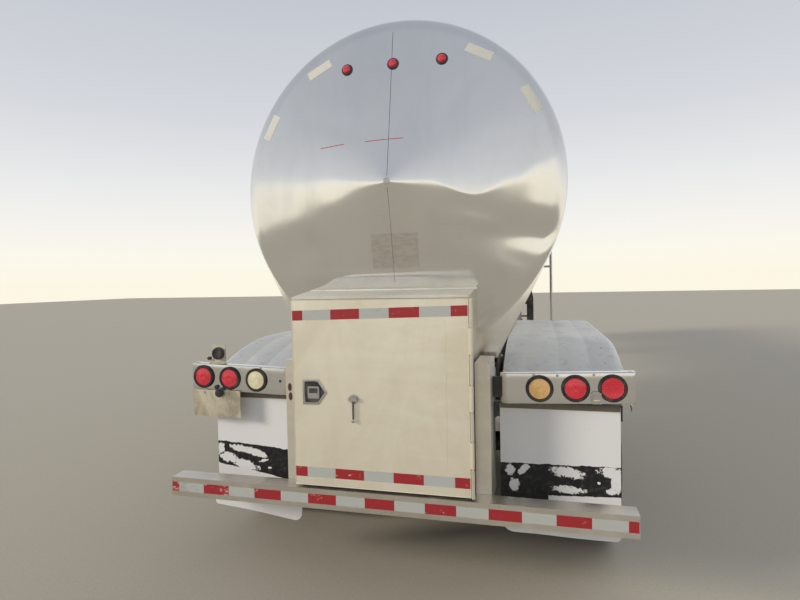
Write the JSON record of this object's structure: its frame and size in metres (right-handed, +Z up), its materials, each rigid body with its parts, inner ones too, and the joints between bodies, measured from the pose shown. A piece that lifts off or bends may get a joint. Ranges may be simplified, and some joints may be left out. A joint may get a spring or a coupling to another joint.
{
  "type": "tank semi-trailer",
  "caption": "Insulated stainless tank semi-trailer for liquid food, with a tandem axle under full fenders, a rear outlet cabinet, landing legs and a kingpin coupler.",
  "frame": {"origin": "on the ground below the middle of the trailer's length and width", "axes": "+X to the kerb side (right seen from behind), +Y to the front, +Z up"},
  "size_m": [2.4414, 12.192, 3.3826],
  "materials": {
    "polished_steel": "mirror polished stainless sheet",
    "brushed_steel": "brushed stainless",
    "aluminium": "dull weathered aluminium",
    "wheel_aluminium": "machined disc wheels, road worn",
    "tyre": "road tyre rubber",
    "black_paint": "chassis black, dusty",
    "steel_pin": "forged and greased",
    "rubber": "matte",
    "white_flap": "white flap with a worn black band",
    "red_lens": "clear red lens",
    "amber_lens": "clear amber lens"
  },
  "bodies": {
    "trailer": {"air_reservoirs": "black_paint", "air_springs": "rubber", "axles": "black_paint", "brake_chambers": "black_paint", "bumper_braces": "brushed_steel", "bumper_posts": "brushed_steel", "cabinet_hinge": "brushed_steel", "cabinet_shell": "brushed_steel", "coupler_plate": "black_paint", "coupler_skirt": "polished_steel", "cross_members": "black_paint", "edge_trim": "polished_steel", "fender_brackets": "aluminium", "fender_left": "aluminium", "fender_right": "aluminium", "flap_hangers": "black_paint", "frame_rails": "black_paint", "front_couplings": "black_paint", "front_head": "polished_steel", "id_lamps": "red_lens", "jacket_bands": "polished_steel", "kingpin": "steel_pin", "ladder": "brushed_steel", "lamp_grommets": "rubber", "lamp_panel_left": "polished_steel", "lamp_panel_right": "polished_steel", "landing_braces": "black_paint", "landing_crank": "black_paint", "landing_feet": "black_paint", "landing_legs": "black_paint", "landing_saddle": "black_paint", "manhole_fittings": "brushed_steel", "manhole_neck": "polished_steel", "mud_flap_left": "white_flap", "mud_flap_right": "white_flap", "outlet_valve": "brushed_steel", "rear_bumper": "brushed_steel", "rear_sheet": "polished_steel", "rear_skirt": "polished_steel", "shock_absorbers": "black_paint", "side_panels": "black_paint", "stop_lamps": "red_lens", "suspension_hangers": "black_paint", "tank_barrel": "polished_steel", "trailing_arms": "black_paint", "turn_lamps": "amber_lens", "walkway": "aluminium"},
    "wheels_rear_left": {"tyres_rear_left": "tyre", "rims_rear_left": "wheel_aluminium"},
    "wheels_rear_right": {"tyres_rear_right": "tyre", "rims_rear_right": "wheel_aluminium"},
    "wheels_front_left": {"tyres_front_left": "tyre", "rims_front_left": "wheel_aluminium"},
    "wheels_front_right": {"tyres_front_right": "tyre", "rims_front_right": "wheel_aluminium"},
    "cabinet_door": {"cabinet_door": "brushed_steel", "door_fittings": "brushed_steel"},
    "manhole_lid": {"manhole_lid": "polished_steel"}
  },
  "joints": [
    {"name": "wheel_spin_rear_left", "type": "hinge", "parent": "trailer", "child": "wheels_rear_left", "pos_m": [-0.908, -4.945, 0.525], "axis": [1, 0, 0], "continuous": true},
    {"name": "wheel_spin_rear_right", "type": "hinge", "parent": "trailer", "child": "wheels_rear_right", "pos_m": [0.908, -4.945, 0.525], "axis": [1, 0, 0], "continuous": true},
    {"name": "wheel_spin_front_left", "type": "hinge", "parent": "trailer", "child": "wheels_front_left", "pos_m": [-0.908, -3.7, 0.525], "axis": [1, 0, 0], "continuous": true},
    {"name": "wheel_spin_front_right", "type": "hinge", "parent": "trailer", "child": "wheels_front_right", "pos_m": [0.908, -3.7, 0.525], "axis": [1, 0, 0], "continuous": true},
    {"name": "cabinet_door_hinge", "type": "hinge", "parent": "trailer", "child": "cabinet_door", "pos_m": [0.462, -6.081, 1.0575], "axis": [0, 0, 1], "range_deg": [0, 110]},
    {"name": "manhole_lid_hinge", "type": "hinge", "parent": "trailer", "child": "manhole_lid", "pos_m": [0, 0.486, 3.29463], "axis": [-1, 0, 0], "range_deg": [0, 105]}
  ]
}
